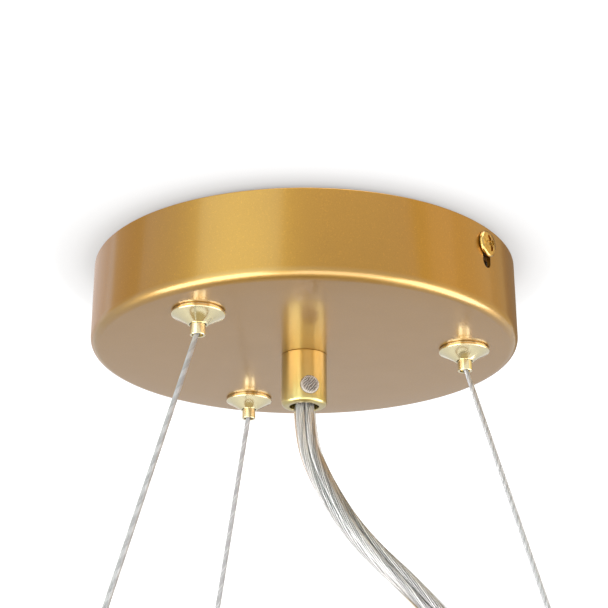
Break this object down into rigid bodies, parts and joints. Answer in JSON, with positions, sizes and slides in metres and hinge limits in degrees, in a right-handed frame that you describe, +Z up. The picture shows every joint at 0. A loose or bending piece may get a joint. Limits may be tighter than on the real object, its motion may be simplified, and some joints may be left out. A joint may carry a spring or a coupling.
{
  "type": "ring chandelier",
  "caption": "Pendant ring lamp: round ceiling canopy, spring cable grippers, steel cables, clamped clear cord and a channel ring with an opal light band.",
  "frame": {"origin": "middle of the ceiling bracket's top face, midway between its two ceiling holes", "axes": "+Z up into the ceiling, +X to the right and +Y away from a viewer who looks up at the canopy as in the picture"},
  "size_m": [0.4, 0.4, 0.502],
  "materials": {
    "gold_paint": "satin gold powder coat with a fine metallic sparkle",
    "brass": "polished brass",
    "steel": "bright stranded or drawn steel",
    "zinc_steel": "zinc plated",
    "white_plastic": "moulded",
    "clear_plastic": "clear nylon",
    "clear_cord": "clear PVC over tinned strands",
    "green_wire": "PVC insulation",
    "brown_wire": "PVC insulation",
    "white_wire": "PVC insulation",
    "led_board": "flexible board with phosphor chips",
    "opal": "opal acrylic"
  },
  "bodies": {
    "root": {"ceiling_bracket": "zinc_steel", "earth_screw": "brass", "earth_tag": "zinc_steel", "earth_lead": "green_wire", "terminal_block": "white_plastic", "led_driver": "white_plastic", "supply_leads": "brown_wire", "output_leads": "white_wire", "canopy_shell": "gold_paint", "canopy_side_screws": "brass", "cord_grip_body": "gold_paint", "cord_grip_nipple": "zinc_steel", "cord_grip_nut": "zinc_steel", "cord_grip_bush": "clear_plastic", "cord_grip_screw": "clear_plastic", "cord_tail": "clear_cord", "power_cord": "clear_cord", "gripper_nuts": "zinc_steel", "anchor_nuts": "zinc_steel", "anchor_set_screws": "zinc_steel", "ring_housing": "gold_paint", "ring_joint_plate": "zinc_steel", "led_strip": "led_board", "led_diffuser": "opal", "ring_inlet_gland": "gold_paint", "ring_gland_nut": "zinc_steel", "ring_leads": "white_wire", "gripper_cap_right": "brass", "gripper_barrel_right": "brass", "gripper_spring_right": "steel", "steel_cable_right": "steel", "ring_anchor_right": "brass", "gripper_cap_far": "brass", "gripper_barrel_far": "brass", "gripper_spring_far": "steel", "steel_cable_far": "steel", "ring_anchor_far": "brass", "gripper_cap_left": "brass", "gripper_barrel_left": "brass", "gripper_spring_left": "steel", "steel_cable_left": "steel", "ring_anchor_left": "brass"},
    "plunger_right": {"gripper_plunger_right": "brass", "gripper_balls_right": "steel"},
    "plunger_far": {"gripper_plunger_far": "brass", "gripper_balls_far": "steel"},
    "plunger_left": {"gripper_plunger_left": "brass", "gripper_balls_left": "steel"}
  },
  "joints": [
    {"name": "press_nozzle_right", "type": "slide", "parent": "root", "child": "plunger_right", "axis": [0, 0, 1], "range_m": [0, 0.0018], "stiffness_N_per_m": 400, "springref_m": -0.004, "deforming": ["gripper_spring_right"]},
    {"name": "press_nozzle_far", "type": "slide", "parent": "root", "child": "plunger_far", "axis": [0, 0, 1], "range_m": [0, 0.0018], "stiffness_N_per_m": 400, "springref_m": -0.004, "deforming": ["gripper_spring_far"]},
    {"name": "press_nozzle_left", "type": "slide", "parent": "root", "child": "plunger_left", "axis": [0, 0, 1], "range_m": [0, 0.0018], "stiffness_N_per_m": 400, "springref_m": -0.004, "deforming": ["gripper_spring_left"]}
  ]
}
